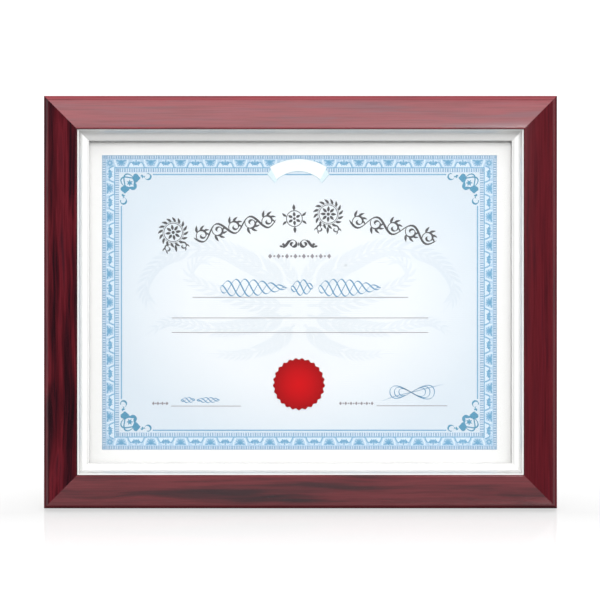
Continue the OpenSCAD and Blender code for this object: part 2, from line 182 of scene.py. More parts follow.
def bumped(tree, height, strength, depth):
    """Relief that follows a height; its depth is in mm."""
    return add(tree, "Bump", {"Height": height, "Strength": strength, "Distance": depth * MM})


def away_from(tree, place, spot, size):
    """The distance from a spot, counted in a size in mm."""
    return vectors(tree, "LENGTH", stretched(tree, vectors(tree, "SUBTRACT", place, spot), size))


def facing(tree, way):
    """1 where a surface faces a way, 0 across it and -1 against it."""
    normal = add(tree, "TexCoord").node.outputs["Normal"]
    return vectors(tree, "DOT_PRODUCT", normal, way)


def new_material(name):
    """An empty material: itself, its node tree, and the place on it in upright mm."""
    made = bpy.data.materials.new(name)
    made.use_nodes = True
    tree = made.node_tree
    tree.nodes.clear()
    place = add(tree, "TexCoord").node.outputs["Object"]
    return made, tree, stretched(tree, place, MM, (lean, 0, 0))


def finish(made, **inputs):
    """Ends a material with a principled shader; an input's name has _ for its spaces."""
    named = {name.replace("_", " "): value for name, value in inputs.items()}
    shader = add(made.node_tree, "BsdfPrincipled", named)
    add(made.node_tree, "OutputMaterial", {"Surface": shader})
    return made


def wear(made, *nodes):
    """Gives some nodes of the model their material."""
    for name in nodes:
        frame["nodes"][name].data.materials.clear()
        frame["nodes"][name].data.materials.append(made)
    print(f"{made.name}: {', '.join(nodes)}")


# %% [markdown]
# ## Mahogany moulding
# The real moulding is a pale wood stained to mahogany, under clear gloss lacquer. The stain
# sinks deeper into soft grain, which leaves long dark streaks a few millimetres wide, and the
# lacquer lays a clear sheen over them. Noise that is stretched a hundred times along the rail
# draws the streaks. The grain follows each rail, so it changes direction at the mitres. The
# lacquer is sprayed from the front and above, so it thins towards the outer sides, most of all
# beside and below, and the back is bare wood. Both are found by asking which way the surface faces.
# A dark line along the liner is painted shade where the rails meet it, and the top rail's paler
# stain is a painted sheen over its real one.

# %% Lacquered mahogany
FIBRE = (40.0, 0.9, 0.9)  # mm, coarser than real fibres so that they show
LACQUER_ROUGHNESS = 0.16
DRIFT = 1.6  # how many of its own widths a streak wanders from its line
JOINT_SHADE_WIDTH = 0.6  # mm of the inner edge that gets painted shade beside the liner
JOINT_SHADE_STRENGTH = 0.6  # how far the painted shade covers the grain
PATCHED = 0.8  # how far a dark patch covers it
FRAY = 2.4  # how far the streaks push the ends of a patch in and out
THIN_FROM, THIN_TO = -0.93, -0.75  # how far a face turns to the back where the lacquer thins
liner_low, liner_high = upright_box(*LINERS)


def painted_joint_shade(tree, place):
    """Where the painted shade lies: 1 beside the liner and 0 a little further out, on all four
    rails at once.
    """
    half = (liner_high - liner_low) / 2
    page = vectors(tree, "SUBTRACT", place, (liner_high + liner_low) / 2)
    across = add(tree, "SeparateXYZ", {0: vectors(tree, "ABSOLUTE", page)}).node.outputs
    out = maths(tree, "MAXIMUM", maths(tree, "SUBTRACT", across["X"], half.x),
                maths(tree, "SUBTRACT", across["Z"], half.z))
    return mapped(tree, out, (0.3 * JOINT_SHADE_WIDTH, JOINT_SHADE_WIDTH), (1.0, 0.0), interpolation_type="SMOOTHSTEP")


def mahogany(side, turn, shift, streak, stain, patch=None, edge=0.1):
    """Stained wood under lacquer on one rail; turn sets the way of its grain.

    A streak's length and width are in mm. A patch is a place and a size in mm where the stain
    is darker, with frayed ends. The edge is the share of lacquer that the outside gets.
    """
    made, tree, place = new_material("lacquered_mahogany_" + side)
    along = add(tree, "Mapping", {
        "Vector": place, "Rotation": (0, turn, 0), "Location": (shift, 0, shift)})
    drift = noise(tree, along, (70, 25, 25), 1.0).node.outputs["Color"]
    bent = vectors(tree, "MULTIPLY_ADD", drift, (0, DRIFT, DRIFT),
                   stretched(tree, along, (streak[0], streak[1], streak[1])))
    streaks = add(tree, "TexNoise", {
        "Vector": bent, "Scale": 1.0, "Detail": 3.0, "Roughness": 0.55})
    fibres = noise(tree, along, FIBRE, 2.0, 0.6)
    grain = mixed(tree, 0.5, ramp(tree, streaks, *stain),
                  ramp(tree, fibres, (0.32, "#b9b2b4"), (0.55, "#ffffff")), "MULTIPLY")
    if patch:  # its distance grows by FRAY times the streaks, which vary about one half
        frayed = maths(tree, "MULTIPLY_ADD", streaks, FRAY, away_from(tree, place, *patch))
        deep = mapped(tree, frayed, (FRAY / 2, FRAY / 2 + 1), (PATCHED, 0.0))
        grain = mixed(tree, deep, grain, linear("#221018"))
    # Painted shade along the joint with the liner: the grain darkens to near black there.
    joint_shade = maths(tree, "MULTIPLY", painted_joint_shade(tree, place), JOINT_SHADE_STRENGTH)
    grain = mixed(tree, joint_shade, grain, linear("#1c0c10"))
    back = facing(tree, out_of_back)
    is_back = maths(tree, "GREATER_THAN", back, 0.9)
    lacquer = mapped(tree, back, (THIN_FROM, THIN_TO), (1.0, edge))
    coat = maths(tree, "SUBTRACT", lacquer, is_back, use_clamp=True)
    bare = ramp(tree, fibres, (0.3, "#b48d63"), (0.7, "#cfae83"))
    finish(made, Base_Color=mixed(tree, is_back, grain, bare), Roughness=0.42, IOR=1.5,
           Normal=bumped(tree, fibres, 0.25, 0.04), Specular_IOR_Level=0.0, Coat_Weight=coat,
           Coat_Roughness=LACQUER_ROUGHNESS, Coat_IOR=1.5)
    wear(made, side + "_rail")


# Stain from the darkest streaks to the palest wood; each rail comes from another length.
# The top rail's paler, greyer stain is a painted sheen from the overhead light, over its real
# sheen.
STREAKY = ((0.30, "#1b0a10"), (0.41, "#330f17"), (0.50, "#4b131b"), (0.60, "#611b24"),
           (0.70, "#431720"))
SOFT = ((0.30, "#43151c"), (0.42, "#5f1d25"), (0.55, "#6d252c"), (0.72, "#64222a"))
EVEN = ((0.26, "#3d1019"), (0.42, "#50141c"), (0.55, "#59161e"), (0.74, "#4d151f"))
TOP_PAINTED_SHEEN = ((0.30, "#6c333c"), (0.42, "#762c34"), (0.55, "#7c2b33"), (0.74, "#72323c"))
mahogany("top", 0.0, 0.0, (90, 5.0), TOP_PAINTED_SHEEN, edge=0.4)
mahogany("bottom", 0.0, 400.0, (120, 5.5), SOFT,
         (Vector((middle.x - 36, 0, outer_low.z + 10)), (66, 1000, 6.5)))
mahogany("left", pi / 2, 900.0, (110, 4.5), STREAKY)
mahogany("right", pi / 2, 1700.0, (90, 3.0), EVEN)

# %% [markdown]
# ## Silver liner
# The liner is a wooden slip wrapped in silver foil and toned satin. Foil is a real metal skin,
# so the shader is metallic with the default IOR. A fine tooth in the ground under the foil
# scatters the reflection, which a middle roughness and a faint bump give.

# %% Satin silver foil
def satin_silver_foil():
    """Silver foil over a ground with a 0.5 mm tooth, coarser than the real one."""
    made, tree, place = new_material("satin_silver_foil")
    tooth = noise(tree, place, 0.5, 3.0)
    rough = mapped(tree, tooth, (0.0, 1.0), (0.30, 0.38))
    return finish(made, Base_Color=ramp(tree, tooth, (0.2, "#c1c1c0"), (0.8, "#c9c9c8")),
                  Metallic=1.0, Roughness=rough, Normal=bumped(tree, tooth, 0.1, 0.03))


wear(satin_silver_foil(), *LINERS)

# %% [markdown]
# ## Float glass
# The glass is 2 mm thick and so clear that only its faint reflection shows. A full glass
# shader would darken the sheet behind it, because light samples can't aim through a bent ray,
# so a straight see-through shader is mixed with a mirror. Each face mirrors 4 % of the light
# that meets it squarely and more at a slant, and the fifth power of the slant gives that.

# %% Clear float glass
MIRRORED = 0.043  # share of the light that glass of IOR 1.52 mirrors squarely


def clear_float_glass():
    """Lets light straight through and mirrors a little; the mirror has a faint roller wave."""
    made, tree, place = new_material("clear_float_glass")
    wave = noise(tree, place, (90, 90, 60), 0.0)
    clear = add(tree, "BsdfTransparent", {"Color": linear("#ffffff")})
    mirror = add(tree, "BsdfGlossy", {
        "Roughness": 0.02, "Normal": bumped(tree, wave, 0.05, 0.2)})
    slant = add(tree, "LayerWeight", {"Blend": 0.5}).node.outputs["Facing"]
    share = maths(tree, "MULTIPLY_ADD", maths(tree, "POWER", slant, 5.0), 1 - MIRRORED, MIRRORED)
    both = add(tree, "MixShader", {0: share, 1: clear, 2: mirror})
    add(tree, "OutputMaterial", {"Surface": both})
    return made


wear(clear_float_glass(), "glazing")

# %% [markdown]
# ## Certificate paper
# The certificate is a letter-size sheet of smooth white paper. The press leaves a white margin
# of 15 mm and lays a pale blue tint inside it, lightest in the middle, with fine wavy lines
# that are hard to copy. All of that is flat on the sheet, so it belongs to the paper's own
# material, while the ornaments follow as pieces of their own.

# %% Paper with a printed tint
HALF_W = 124.7  # mm, half the width of the printed rectangle
HALF_H = 93.0  # mm, half its height
PRINT_SHIFT = (0.35, 0.8)  # mm, the print sits this far right and up of the sheet's middle
WAVE_PITCH = 1.9  # mm from one wavy line to the next
page_x = (sheet_low.x + sheet_high.x) / 2 + PRINT_SHIFT[0]
page_z = (sheet_low.z + sheet_high.z) / 2 + PRINT_SHIFT[1]


def printed_tint(tree, place):
    """The colour of the tint and its waves, and 1 inside the printed rectangle."""
    page = vectors(tree, "SUBTRACT", place, (page_x, sheet_low.y, page_z))
    unit = vectors(tree, "MULTIPLY", page, (1 / HALF_W, 0, 1 / HALF_H))
    across = add(tree, "SeparateXYZ", {0: vectors(tree, "ABSOLUTE", unit)}).node.outputs
    inside = maths(tree, "LESS_THAN", maths(tree, "MAXIMUM", across["X"], across["Z"]), 1.0)
    tint = ramp(tree, vectors(tree, "LENGTH", unit),
                (0.0, "#edf1f3"), (0.55, "#eef2f5"), (1.0, "#dce6ee"))
    waves = add(tree, "TexWave", {
        "Vector": stretched(tree, page, (40, 40, WAVE_PITCH * 2)), "Scale": 1.0,
        "Distortion": 1.2, "Detail": 0.0, "Detail Scale": 0.6}, bands_direction="Z")
    lines = ramp(tree, waves, (0.0, "#f3f7fa"), (0.25, "#ffffff"))
    return mixed(tree, 0.8, tint, lines, "MULTIPLY"), inside


def tinted_paper():
    """White paper with the printed tint and a fibrous surface."""
    made, tree, place = new_material("white_certificate_paper")
    lined, inside = printed_tint(tree, place)
    fibres = noise(tree, place, 0.8, 4.0)
    white = ramp(tree, fibres, (0.3, "#f7f7f5"), (0.7, "#fbfbfa"))
    return finish(made, Base_Color=mixed(tree, inside, white, lined), Roughness=0.65, IOR=1.45,
                  Normal=bumped(tree, fibres, 0.1, 0.02))


wear(tinted_paper(), "certificate")
print(f"printed area {2 * HALF_W:.0f} by {2 * HALF_H:.0f} mm on the sheet")

# %% [markdown]
# ## Foil seal
# The wafer seal is die-cut from red foil paper and pressed flat. It is brightest in the
# middle and darkens to the rim. Foil paper is a lacquered metal skin, but the red lacquer
# takes nearly all of its mirror away, so a plain surface with a weak gloss looks right.

# %% Red foil paper
seal_low, seal_high = upright_box("wafer_seal")
SEAL_GRAIN = 0.35  # mm


def red_foil_paper():
    """Red foil paper, lighter in the middle of the seal, with a pressed grain."""
    made, tree, place = new_material("red_foil_paper")
    away = away_from(tree, place, (seal_low + seal_high) / 2, (seal_high.x - seal_low.x) / 2)
    grain = noise(tree, place, SEAL_GRAIN)
    red = ramp(tree, away, (0.0, "#d50a13"), (0.5, "#c50a13"), (0.85, "#ae0911"),
               (1.0, "#980b12"))
    shade = ramp(tree, grain, (0.3, "#f4eeee"), (0.6, "#ffffff"))
    return finish(made, Base_Color=mixed(tree, 1.0, red, shade, "MULTIPLY"), Roughness=0.45,
                  IOR=1.5, Specular_IOR_Level=0.12, Normal=bumped(tree, grain, 0.2, 0.03))


wear(red_foil_paper(), "wafer_seal")

# %% [markdown]
# ## How the ink is laid
# The border, the ornaments and the pen work are printed on the sheet. They could be an image,
# but ink drawn as thin pieces stays sharp at any size. Every stroke, leaf and bar is a strip:
# a list of points on its left and one on its right. A strip becomes a closed piece that
# starts inside the paper and stands a few hundredths of a millimetre proud of it, within the
# air gap behind the glass. Drawings are in page millimetres from the middle of the print.

# %% Strips of ink
SUNK = 0.02  # mm that each strip reaches into the paper
PLY = 0.0015  # mm from one strip to the next, so that none lies in another's plane


def set_out(name, data):
    """Puts a new object with its data in the scene."""
    made = bpy.data.objects.new(name, data)
    bpy.context.scene.collection.objects.link(made)
    return made


def lay_ink(name, strips, ink, height):
    """Makes one piece of some strips of ink, height mm proud, and lets it ride on the frame."""
    points, faces = [], []
    back = sheet_low.y + SUNK
    for count, (left, right) in enumerate(strips):
        front = sheet_low.y - height - PLY * (count % 10)
        start = len(points)
        for l, r in zip(left, right):
            for side, y in ((l, front), (r, front), (l, back), (r, back)):
                points.append(leaned @ Vector((page_x + side[0], y, page_z + side[1])))
        for i in range(start, len(points) - 4, 4):
            lf, rf, lb, rb, lf2, rf2, lb2, rb2 = range(i, i + 8)
            faces += [(rf, rf2, lf2, lf), (lf, lf2, lb2, lb), (rb, rb2, rf2, rf),
                      (lb, lb2, rb2, rb)]
        lf, rf, lb, rb = range(len(points) - 4, len(points))
        faces += [(start, start + 2, start + 3, start + 1), (lf, rf, rb, lb)]
    mesh = bpy.data.meshes.new(name)
    mesh.from_pydata(points, [], faces)
    mesh.materials.append(ink)
    piece = set_out(name, mesh)
    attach(piece, "frame")
    print(f"{name}: {len(strips)} strips")


def stroke(points, widths):
    """A strip along some points; widths is one width or one for each point."""
    points = [Vector(p) for p in points]
    if not isinstance(widths, list):
        widths = [widths] * len(points)
    left, right = [], []
    for i, p in enumerate(points):
        way = points[min(i + 1, len(points) - 1)] - points[max(i - 1, 0)]
        side = Vector((-way.y, way.x)).normalized() * widths[i] / 2
        left.append(p + side)
        right.append(p - side)
    return left, right


def smooth(points, steps=8):
    """More points on a smooth curve through some points."""
    points = [Vector(p) for p in points]
    ends = [2 * points[0] - points[1]] + points + [2 * points[-1] - points[-2]]
    curve = []
    for a, b, c, d in zip(ends, ends[1:], ends[2:], ends[3:]):
        for i in range(steps):
            t = i / steps
            curve.append(0.5 * (2 * b + (c - a) * t + (2 * a - 5 * b + 4 * c - d) * t ** 2
                                + (3 * b - a - 3 * c + d) * t ** 3))
    return curve + [points[-1]]


def polar(centre, radius, angle):
    """The point at a radius and an angle in degrees from a centre."""
    a = radians(angle)
    return Vector((centre[0] + radius * cos(a), centre[1] + radius * sin(a)))


def round_path(centre, radii, angles, steps=20):
    """Points on an arc or a spiral, from one radius and angle in degrees to another."""
    return [polar(centre, radii[0] + (radii[1] - radii[0]) * i / steps,
                  angles[0] + (angles[1] - angles[0]) * i / steps) for i in range(steps + 1)]


# %% [markdown]
# ## Things to draw with
# A scribe's broad pen, a pointed leaf, a spot, a diamond and a bar are all that the ornaments
# need. Drawings are made once and then copied, turned and mirrored, as an engraver does.

# %% Pen, leaf and spot
PEN_SLANT = radians(40)  # the way the nib is held, along which it draws its thinnest line


def pen(points, thick, thin, fade=0.25):
    """A stroke of a broad pen: its width follows its direction, and its ends taper."""
    points = [Vector(p) for p in points]
    widths = []
    for i in range(len(points)):
        way = points[min(i + 1, len(points) - 1)] - points[max(i - 1, 0)]
        turn = abs(sin(atan2(way.y, way.x) - PEN_SLANT))
        end = min(i, len(points) - 1 - i) / (fade * len(points))
        widths.append((thin + (thick - thin) * turn) * min(1.0, 0.25 + 0.75 * end))
    return stroke(points, widths)


def leaf(root, angle, length, width, bend=0.0):
    """A pointed leaf from its root; bend curls its tip to the left."""
    points, widths = [], []
    for i in range(11):
        t = i / 10
        points.append(polar(polar(root, length * t, angle), bend * length * t * t, angle + 90))
        widths.append(0.03 + width * sin(pi * t ** 0.8) ** 0.9)
    return stroke(points, widths)


def disc(centre, radius):
    """A round spot of ink."""
    points = [(centre[0] + radius * cos(pi * i / 12), centre[1]) for i in range(12, -1, -1)]
    return stroke(points, [0.02 + 2 * radius * sin(pi * i / 12) for i in range(13)])


def lozenge(centre, width, height):
    """A diamond of ink."""
    x, y = centre
    return stroke([(x - width / 2, y), (x, y), (x + width / 2, y)], [0.02, height, 0.02])


def bar(left, right, level, width):
    """A level bar."""
    return stroke([(left, level), (right, level)], width)


def placed(strips, at=(0, 0), turn=0.0, grow=1.0, mirror=False):
    """Copies of some strips: mirrored left to right, grown, turned in degrees, then moved."""
    way = -1 if mirror else 1
    copies = []
    for sides in strips:
        moved = [[polar(polar(at, grow * way * x, turn), grow * y, turn + 90) for x, y in side]
                 for side in sides]
        copies.append(moved[::way])
    return copies


def both_ways(strips):
    """Some strips with their mirror image."""
    return strips + placed(strips, mirror=True)


# %% [markdown]
# ## Printing inks
# Offset ink is laid as a screen of tiny dots, so a printed colour is never quite even. A fine
# mottle of two near colours stands for the dots, which are too small to show. Ink is a thin
# matt film, so it keeps a roughness close to that of the paper.

# %% Inks
DOT = 0.45  # mm, about three times a real screen dot so that the mottle shows


def printing_ink(name, low, high):
    """A matt ink that mottles between two colours."""
    made, tree, place = new_material(name)
    dots = noise(tree, place, DOT)
    return finish(made, Base_Color=ramp(tree, dots, (0.35, low), (0.65, high)),
                  Roughness=0.55, IOR=1.45)


INKS = {
    "pale_blue_wash": ("#d4e4f0", "#deeaf4"), "violet_blue": ("#8badca", "#9bb9d4"),
    "canopy_blue": ("#b4d0e6", "#c0daed"), "mid_blue": ("#78acce", "#88b7d6"),
    "teal_blue": ("#5292b3", "#609fbd"), "soft_black": ("#4c4c4f", "#59595c"),
    "grey": ("#8d898f", "#9a969b"), "lace_light": ("#d7e7f3", "#dfedf7"),
    "bud_blue": ("#6aa3c8", "#78afd1"), "ribbon_white": ("#f2f9fc", "#f6fcff"),
    "ribbon_shade": ("#d8eaf1", "#e0f1f6"), "ribbon_outline": ("#a9c3cf", "#b5ced8"),
    "pen_blue": ("#5a8fb5", "#699cbf")}
ink = {name: printing_ink("ink_" + name, *colours) for name, colours in INKS.items()}
print("inks:", ", ".join(ink))

# %% [markdown]
# ## Border
# A certificate border is built in bands, from the outside in: a band of fine upright
# hatching, a band of lace, a thin line, a second band of hatching, and an inner line that
# stops short of the corners. One side is drawn along the bottom edge, with x along it and y
# inwards, and turned by 90 degrees for each of the others.

# %% Bands and hatching
BAND_1 = (0.0, 2.3)  # mm inwards from the edge of the print
LACE = (2.4, 7.4)
LINE_1 = 7.9
BAND_2 = (8.4, 10.7)
LINE_2 = 12.2
HATCH_PITCH = 1.5
FINER = 0.82  # how much thinner the ticks of the second band are
LINE_WIDTH = 0.8
# For the bottom, right, top and left side: its turn in degrees, half length and middle.
SIDES = ((0, HALF_W, (0, -HALF_H)), (90, HALF_H, (HALF_W, 0)),
         (180, HALF_W, (0, HALF_H)), (270, HALF_H, (-HALF_W, 0)))


def all_sides(draw):
    """Draws one side for each side's half length, then turns and moves it into place."""
    return [strip for turn, half, at in SIDES for strip in placed(draw(half), at, turn)]


def hatching(half, low, high, inset, weight=1.0):
    """A band of upright ticks, thinner by weight, that meets its neighbour at a mitre."""
    reach = half - inset
    count = ceil(2 * reach / HATCH_PITCH)
    ticks = []
    for i in range(count):
        x = -reach + (i + 0.5) * 2 * reach / count
        width = HATCH_PITCH * weight * (0.5, 0.8, 0.6, 0.7)[i % 4]
        ticks.append(stroke([(x, low), (x, high)], width))
    return ticks


def in_corners(strips, inset):
    """Copies of some strips in the four corners, inset from the edges of the print."""
    return [strip for x in (-1, 1) for y in (-1, 1)
            for strip in placed(strips, (x * (HALF_W - inset), y * (HALF_H - inset)))]


def mitred(half, low, high):
    """A plain band whose ends are cut at 45 degrees."""
    return [([Vector((-half + high, high)), Vector((half - high, high))],
             [Vector((-half + low, low)), Vector((half - low, low))])]


wash = all_sides(lambda half: mitred(half, BAND_1[0], LINE_2 - 1.2))
lay_ink("border_wash", wash, ink["pale_blue_wash"], 0.024)
hatch = all_sides(lambda half: hatching(half, *BAND_1, BAND_1[1]))
hatch += all_sides(lambda half: hatching(half, *BAND_2, BAND_2[1], FINER))
for low, high in (BAND_1, BAND_2):
    reach = (high - low) / 2
    hatch += in_corners(hatching(reach, -reach, reach, 0), low + reach)
lay_ink("border_hatching", hatch, ink["violet_blue"], 0.04)
edges = all_sides(lambda half: mitred(half, 0, 0.35) + mitred(half, BAND_1[1] - 0.2, BAND_1[1])
                  + mitred(half, BAND_2[1] - 0.15, BAND_2[1]))
lay_ink("border_edges", edges, ink["violet_blue"], 0.056)
lines = all_sides(lambda half: mitred(half, LINE_1 - LINE_WIDTH / 2, LINE_1 + LINE_WIDTH / 2)
                  + [bar(-half + 32, half - 32, LINE_2, LINE_WIDTH)])
lay_ink("border_lines", lines, ink["mid_blue"], 0.056)

# %% [markdown]
# ## Lace
# The lace repeats two drops on a shaded ground: a round bud with wings over a palmette, and a
# swag of flowers that hangs into a white dome. White ribs part them. An odd number of drops
# puts the same one at both ends of a side, so the corners match, and a rosette fills each
# corner.

# %% Lace of buds and swags
LACE_PITCH = 9.3  # mm from one drop to the next


def bud_leaves():
    """Wings beside a bud, and a palmette that fans out from it to the line."""
    half = [leaf((0.3, 4.2), -30, 3.3, 1.2, 0.25), leaf((0.3, 4.4), 14, 2.7, 0.9, 0.3),
            leaf((0.2, 4.6), 58, 2.7, 0.8)]
    return both_ways(half) + [leaf((0, 4.6), 90, 2.6, 0.9)]


def swag_flowers():
    """Flowers that hang in a row between two legs of the dome."""
    half = [disc((1.7, 4.9), 0.95), pen(smooth([(2.4, 4.5), (3.7, 4.6), (4.6, 5.9), (5.1, 7.7)]),
                                        0.7, 0.6, fade=0.1), leaf((1.0, 5.2), 70, 1.7, 0.8)]
    return both_ways(half) + [disc((0, 5.3), 1.1), leaf((0, 4.4), 270, 1.6, 0.8)]


def dome():
    """The white dome under the flowers, and a thin arc over them."""
    shape = stroke([(-4.7, 7.6), (-3.1, 5.0), (3.1, 5.0), (4.7, 7.6)], 0.3)
    solid = ([Vector((-3.1, 4.9)), Vector((3.1, 4.9))], [Vector((-4.7, 7.65)), Vector((4.7, 7.65))])
    return [shape, solid, stroke(smooth([(-2.9, 4.0), (-1.5, 3.1), (0, 3.6), (1.5, 3.1),
                                         (2.9, 4.0)], 4), 0.45)]


def bud_lights():
    """The white ribs beside a bud, the foot of its palmette and the light between its leaves."""
    half = [pen(smooth([(4.1, 2.6), (3.9, 4.6), (3.1, 6.2), (3.0, 7.5)]), 1.0, 0.8, fade=0.05),
            disc((1.1, 5.9), 0.32), disc((1.5, 3.0), 0.3)]
    return both_ways(half) + [bar(-2.7, 2.7, 7.35, 0.5)]


def lace(half, bud, swag):
    """One side of the lace: a drawing for each bud and one for each swag."""
    reach = half - LACE[1]
    count = 2 * int(reach / LACE_PITCH) + 1
    strips = []
    for i in range(count):
        drawing = bud if (i - count // 2) % 2 == 0 else swag
        strips += placed(drawing, (-reach + (i + 0.5) * 2 * reach / count, 0))
    return strips


petals = [leaf(polar((0, 0), 0.5, a), a, 1.9, 0.9) for a in range(0, 360, 45)]
rosettes = in_corners(petals, (LACE[0] + LACE[1]) / 2)
lay_ink("lace_ground", all_sides(lambda half: mitred(half, LACE[0] - 0.1, LACE[1] + 0.2)),
        ink["canopy_blue"], 0.04)
lay_ink("lace_lights", all_sides(lambda half: lace(half, bud_lights(), dome())),
        ink["lace_light"], 0.056)
lay_ink("lace_leaves", all_sides(lambda half: lace(half, bud_leaves(), swag_flowers()))
        + rosettes, ink["mid_blue"], 0.072)
lay_ink("lace_buds", all_sides(lambda half: lace(
    half, [disc((0, 4.2), 1.15), lozenge((0, 4.2), 2.9, 1.3)],
    both_ways([disc((1.8, 4.9), 0.55)]) + [disc((0, 5.4), 0.5)])), ink["bud_blue"], 0.088)

# %% [markdown]
# ## Corner sprays
# Each inner corner carries a spray: two plump buds with a hooked curl beyond each, a bracket
# of two leaves between them on the diagonal, and two thin stems that cross and loop round the
# corner. The spray is symmetrical about the diagonal, so one arm is drawn and swapped over it,
# and quarter turns set the spray into the four corners.

# %% Corner sprays
def corner_spray():
    """A spray for the bottom left corner, in mm along the bottom edge and inwards."""
    arm = [lozenge((21.8, 14.4), 5.0, 5.8), leaf((18.8, 14.4), 0, 3.6, 2.4),
           leaf((20.0, 14.8), 78, 3.0, 1.3, -0.3), leaf((20.0, 14.0), -78, 2.7, 1.3, 0.3),
           pen(smooth([(19.6, 13.8), (17.6, 12.3), (15.6, 11.9), (14.1, 13.0), (13.8, 15.2),
                       (14.2, 17.6), (14.4, 19.4)]), 0.9, 0.5, fade=0.05),
           pen(smooth([(24.2, 13.4), (25.3, 12.6), (26.4, 13.8), (27.2, 13.0)]), 0.7, 0.4),
           leaf((25.0, 12.8), 60, 1.9, 0.9, 0.2),
           pen(round_path((28.9, 13.3), (2.2, 1.6), (150, -115)), 1.2, 0.5)]
    bracket = [leaf((21.2, 21.2), 186, 4.6, 2.1, 0.12), leaf((21.2, 21.2), 264, 4.6, 2.1, -0.12)]
    flower = [leaf((17.5, 17.5), a, 2.1, 0.9) for a in (0, 60, 120, 180, 240, 300)]
    return bracket + flower + arm + placed(arm, turn=-90, mirror=True)


corners = []
for turn, x, y in ((0, -1, -1), (90, 1, -1), (180, 1, 1), (270, -1, 1)):
    corners += placed(corner_spray(), (x * HALF_W, y * HALF_H), turn)
lay_ink("corner_sprays", corners, ink["teal_blue"], 0.03)

# %% [markdown]
# ## Ribbon
# A pale ribbon hangs over the middle of the top border, with its two ends folded behind it.
# It is printed last, so it stands above the bands. Arcs about one centre give its edges.

# %% Ribbon
RIBBON_X, RIBBON_TOP, RIBBON_R = -0.7, 90.7, 34.0  # mm, middle, top and radius of its arc
RIBBON_WIDTH = 7.9
NARROWER = 0.24  # how much shorter its lower edge is than its upper edge
body_high = round_path((RIBBON_X, RIBBON_TOP - RIBBON_R), (RIBBON_R, RIBBON_R), (122, 58), 24)
body_low = [p + Vector((NARROWER * (RIBBON_X - p.x), -RIBBON_WIDTH)) for p in body_high]
end = [([Vector((-17.2, 84.4)), Vector((-12.7, 77.9))],
        [Vector((-19.6, 81.0)), Vector((-14.9, 75.5))])]
tails = placed(both_ways(end), (RIBBON_X, 0))
lay_ink("ribbon_ends", tails, ink["ribbon_shade"], 0.09)
rims = [stroke(left + right[::-1] + left[:1], 0.3) for left, right in tails]
lay_ink("ribbon_end_outlines", rims, ink["ribbon_outline"], 0.105)
lay_ink("ribbon", [(body_high, body_low)], ink["ribbon_white"], 0.12)
lay_ink("ribbon_outline", [stroke(body_low, 0.35), stroke(body_high, 0.2)],
        ink["ribbon_outline"], 0.135)

# %% [markdown]
# ## Heading ornament
# Where such a certificate carries its heading, this one carries a running scroll of foliage,
# drawn with a broad pen along an arch. A pen of this kind draws thick strokes one way and thin
# ones the other. Two rosettes in wreaths stand where a scribe would set the large initials.
# Each leaf grows from the back of a spiral, so its root is worked out on that spiral.

# %% Heading scroll
ARCH_X, ARCH_Y, ARCH_R = 7.5, -172.8, 221.2  # mm, centre and radius of the arch
LEAF_SWEEP = 48  # degrees that a leaf leans forward from the back of its spiral
TEXT_PLY = 0.02  # mm that all the ink inside the border stands proud


def on_arch(strips, x):
    """Sets strips on the arch above a point x, upright to it."""
    a = (ARCH_X - x) / ARCH_R
    return placed(strips, (ARCH_X - ARCH_R * sin(a), ARCH_Y + ARCH_R * cos(a)), a * 180 / pi)


def volute(centre, radii, angles, thick, leaves, length):
    """A spiral that turns inwards, with leaves at some angles on its back."""
    strips = [pen(round_path(centre, radii, angles, 34), thick, 0.35, fade=0.14)]
    way = 1 if angles[1] > angles[0] else -1
    for i, a in enumerate(leaves):
        r = radii[0] + (radii[1] - radii[0]) * (a - angles[0]) / (angles[1] - angles[0])
        size = length * (1 - 0.12 * i)
        strips.append(leaf(polar(centre, r, a), a + way * LEAF_SWEEP, size, 0.34 * size,
                           way * 0.3))
    return strips


def rosette(reach, petals, width):
    """Petals round a small eye."""
    strips = [disc((0, 0), 0.2 * reach)]
    for i in range(petals):
        a = 90 + 360 * i / petals
        strips.append(leaf(polar((0, 0), 0.3 * reach, a), a, 0.7 * reach, width))
    return strips


def ring(radius, width, steps=48):
    """A round line of ink."""
    return stroke(round_path((0, 0), (radius, radius), (0, 360), steps), width)


def wreath():
    """A rosette in a ring, with leaves round the ring and a curl on either side below."""
    strips = rosette(4.8, 8, 1.6) + [ring(5.5, 0.4), ring(6.3, 0.25)]
    for i in range(16):
        a = 360 * i / 16
        strips.append(leaf(polar((0, 0), 6.3, a), a + 34, 3.5, 1.4, 0.25))
    curl = volute((4.6, -8.9), (2.5, 0.6), (140, -250), 0.9, (20, -40), 2.4)
    return strips + both_ways(curl) + [leaf((0, -7.6), 270, 4.2, 1.5)]


WAVE_LEVEL, WAVE_SWING, WAVE_REACH = 4.9, 4.3, 10.8  # mm, height, swing and half length


def scroll_wave(flip):
    """Half a wave of the running scroll; flip turns it over."""
    wave = volute((0.3, 4.8), (4.1, 0.65), (205, -240), 1.4, (140, 98, 56, 14), 4.6)
    return placed(placed(wave, mirror=True), (0, 2 * WAVE_LEVEL), 180) if flip else wave


def running_scroll(start, end):
    """A running scroll on the arch from one x to another."""
    count = round((end - start) / WAVE_REACH)
    pitch = (end - start) / count
    strips, stem = [], []
    for i in range(count):
        strips += on_arch(scroll_wave(i % 2 == 1), start + (i + 0.5) * pitch)
    for i in range(8 * count + 1):
        high = Vector((0, WAVE_LEVEL - WAVE_SWING * cos(pi * (i / 8 - 0.5))))
        stem.append(on_arch([([high], [])], start + pitch * i / 8)[0][0][0])
    return strips + [pen(stem, 1.4, 0.55, fade=0.03)]


